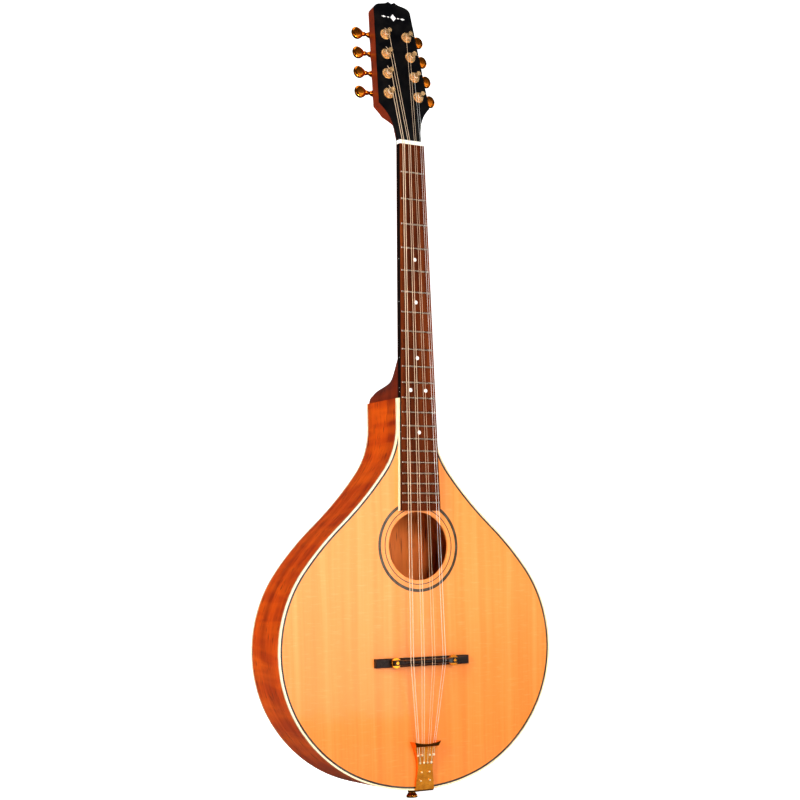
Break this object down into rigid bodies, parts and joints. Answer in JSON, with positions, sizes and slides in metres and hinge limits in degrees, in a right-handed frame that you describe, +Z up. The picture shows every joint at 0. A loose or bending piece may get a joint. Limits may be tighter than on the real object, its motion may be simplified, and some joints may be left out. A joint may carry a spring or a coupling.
{
  "type": "bouzouki",
  "caption": "Flat-topped bouzouki with a teardrop body, long fretted neck, paired metal strings, adjustable bridge, hooded tailpiece and geared tuning machines.",
  "frame": {"origin": "the tip of the end pin, on its axis: the lowest point of the instrument", "axes": "+Z up the neck towards the headstock, -Y out of the front of the soundboard, +X towards the treble strings"},
  "size_m": [0.3918, 0.0974, 1.0261],
  "materials": {
    "spruce_top": "gloss lacquered spruce",
    "mahogany": "gloss lacquered red-brown mahogany",
    "inner_wood": "plain unfinished wood",
    "rosewood": "oiled rosewood",
    "ebony": "oiled ebony",
    "dark_inlay": "dark stained strip under lacquer",
    "ivory_binding": "polished ivory-coloured plastic",
    "bone": "polished bone",
    "pearl": "polished pearl",
    "black_gloss": "polished black lacquer veneer",
    "fret_wire": "polished nickel silver",
    "gold_plate": "polished gold plating",
    "gold_button": "satin gold plating",
    "bronze_string": "wound bronze",
    "steel_string": "plain steel wire",
    "rod_steel": "turned steel"
  },
  "bodies": {
    "frame": {"soundboard": "spruce_top", "rosette_rings": "dark_inlay", "top_purfling": "dark_inlay", "top_binding": "ivory_binding", "back_binding": "ivory_binding", "back_plate": "mahogany", "rim_bass": "mahogany", "rim_treble": "mahogany", "linings": "inner_wood", "neck_block": "inner_wood", "tail_block": "inner_wood", "soundboard_braces": "inner_wood", "back_braces": "inner_wood", "neck": "mahogany", "heel_cap": "mahogany", "truss_rod": "rod_steel", "headstock_overlay": "black_gloss", "headstock_inlay": "pearl", "side_dots": "pearl", "fingerboard": "rosewood", "fingerboard_riser": "ivory_binding", "fret_dots": "pearl", "frets": "fret_wire", "nut": "bone", "bridge_base": "ebony", "bridge_studs": "gold_plate", "strings_bass": "bronze_string", "strings_second": "bronze_string", "strings_third": "bronze_string", "strings_treble": "steel_string", "tailpiece_plate": "gold_plate", "tailpiece_pins": "gold_plate", "tailpiece_screws": "gold_plate", "end_pin": "gold_plate", "tuner_washers": "gold_plate", "tuner_bushings": "gold_plate", "tuner_housings": "gold_plate", "tuner_screws": "gold_plate"},
    "truss_nut": {"truss_rod_nut": "rod_steel"},
    "saddle": {"bridge_saddle": "ebony"},
    "wheel_bass": {"bridge_wheel_bass": "gold_plate"},
    "wheel_treble": {"bridge_wheel_treble": "gold_plate"},
    "key_1": {"tuner_key_1": "gold_button"},
    "post_1": {"tuner_post_1": "gold_plate"},
    "key_2": {"tuner_key_2": "gold_button"},
    "post_2": {"tuner_post_2": "gold_plate"},
    "key_3": {"tuner_key_3": "gold_button"},
    "post_3": {"tuner_post_3": "gold_plate"},
    "key_4": {"tuner_key_4": "gold_button"},
    "post_4": {"tuner_post_4": "gold_plate"},
    "key_5": {"tuner_key_5": "gold_button"},
    "post_5": {"tuner_post_5": "gold_plate"},
    "key_6": {"tuner_key_6": "gold_button"},
    "post_6": {"tuner_post_6": "gold_plate"},
    "key_7": {"tuner_key_7": "gold_button"},
    "post_7": {"tuner_post_7": "gold_plate"},
    "key_8": {"tuner_key_8": "gold_button"},
    "post_8": {"tuner_post_8": "gold_plate"}
  },
  "joints": [
    {"name": "truss_rod_turn", "type": "hinge", "parent": "frame", "child": "truss_nut", "pos_m": [0, -0.02187, 0.49294], "axis": [0, 0.0087, 1], "range_deg": [-90, 90]},
    {"name": "saddle_height", "type": "slide", "parent": "frame", "child": "saddle", "axis": [0, -1, 0], "range_m": [-0.0014, 0]},
    {"name": "wheel_bass_turn", "type": "hinge", "parent": "saddle", "child": "wheel_bass", "pos_m": [-0.0415, -0.0393, 0.171], "axis": [0, -1, 0], "range_deg": [-720.1, 0.1]},
    {"name": "wheel_treble_turn", "type": "hinge", "parent": "saddle", "child": "wheel_treble", "pos_m": [0.0415, -0.0393, 0.171], "axis": [0, -1, 0], "range_deg": [-720.1, 0.1]},
    {"name": "key_1_turn", "type": "hinge", "parent": "frame", "child": "key_1", "pos_m": [-0.022, 0.0062, 0.89854], "axis": [1, 0, 0], "continuous": true},
    {"name": "post_1_turn", "type": "hinge", "parent": "frame", "child": "post_1", "pos_m": [-0.022, -0.01352, 0.89439], "axis": [0, -0.9799, 0.1994], "continuous": true},
    {"name": "key_2_turn", "type": "hinge", "parent": "frame", "child": "key_2", "pos_m": [-0.0199, 0.01183, 0.92617], "axis": [1, 0, 0], "continuous": true},
    {"name": "post_2_turn", "type": "hinge", "parent": "frame", "child": "post_2", "pos_m": [-0.0199, -0.0079, 0.92202], "axis": [0, -0.9799, 0.1994], "continuous": true},
    {"name": "key_3_turn", "type": "hinge", "parent": "frame", "child": "key_3", "pos_m": [-0.0178, 0.01745, 0.95381], "axis": [1, 0, 0], "continuous": true},
    {"name": "post_3_turn", "type": "hinge", "parent": "frame", "child": "post_3", "pos_m": [-0.0178, -0.00228, 0.94966], "axis": [0, -0.9799, 0.1994], "continuous": true},
    {"name": "key_4_turn", "type": "hinge", "parent": "frame", "child": "key_4", "pos_m": [-0.0157, 0.02307, 0.98144], "axis": [1, 0, 0], "continuous": true},
    {"name": "post_4_turn", "type": "hinge", "parent": "frame", "child": "post_4", "pos_m": [-0.0157, 0.00334, 0.97729], "axis": [0, -0.9799, 0.1994], "continuous": true},
    {"name": "key_5_turn", "type": "hinge", "parent": "frame", "child": "key_5", "pos_m": [0.022, 0.0062, 0.89854], "axis": [1, 0, 0], "continuous": true},
    {"name": "post_5_turn", "type": "hinge", "parent": "frame", "child": "post_5", "pos_m": [0.022, -0.01352, 0.89439], "axis": [0, -0.9799, 0.1994], "continuous": true},
    {"name": "key_6_turn", "type": "hinge", "parent": "frame", "child": "key_6", "pos_m": [0.0199, 0.01183, 0.92617], "axis": [1, 0, 0], "continuous": true},
    {"name": "post_6_turn", "type": "hinge", "parent": "frame", "child": "post_6", "pos_m": [0.0199, -0.0079, 0.92202], "axis": [0, -0.9799, 0.1994], "continuous": true},
    {"name": "key_7_turn", "type": "hinge", "parent": "frame", "child": "key_7", "pos_m": [0.0178, 0.01745, 0.95381], "axis": [1, 0, 0], "continuous": true},
    {"name": "post_7_turn", "type": "hinge", "parent": "frame", "child": "post_7", "pos_m": [0.0178, -0.00228, 0.94966], "axis": [0, -0.9799, 0.1994], "continuous": true},
    {"name": "key_8_turn", "type": "hinge", "parent": "frame", "child": "key_8", "pos_m": [0.0157, 0.02307, 0.98144], "axis": [1, 0, 0], "continuous": true},
    {"name": "post_8_turn", "type": "hinge", "parent": "frame", "child": "post_8", "pos_m": [0.0157, 0.00334, 0.97729], "axis": [0, -0.9799, 0.1994], "continuous": true}
  ],
  "couplings": [
    {"joint": "wheel_bass_turn", "follows": "saddle_height", "rad_per_m": 8976},
    {"joint": "wheel_treble_turn", "follows": "saddle_height", "rad_per_m": 8976},
    {"joint": "post_1_turn", "follows": "key_1_turn", "ratio": -0.071429},
    {"joint": "post_2_turn", "follows": "key_2_turn", "ratio": -0.071429},
    {"joint": "post_3_turn", "follows": "key_3_turn", "ratio": -0.071429},
    {"joint": "post_4_turn", "follows": "key_4_turn", "ratio": -0.071429},
    {"joint": "post_5_turn", "follows": "key_5_turn", "ratio": 0.071429},
    {"joint": "post_6_turn", "follows": "key_6_turn", "ratio": 0.071429},
    {"joint": "post_7_turn", "follows": "key_7_turn", "ratio": 0.071429},
    {"joint": "post_8_turn", "follows": "key_8_turn", "ratio": 0.071429}
  ]
}
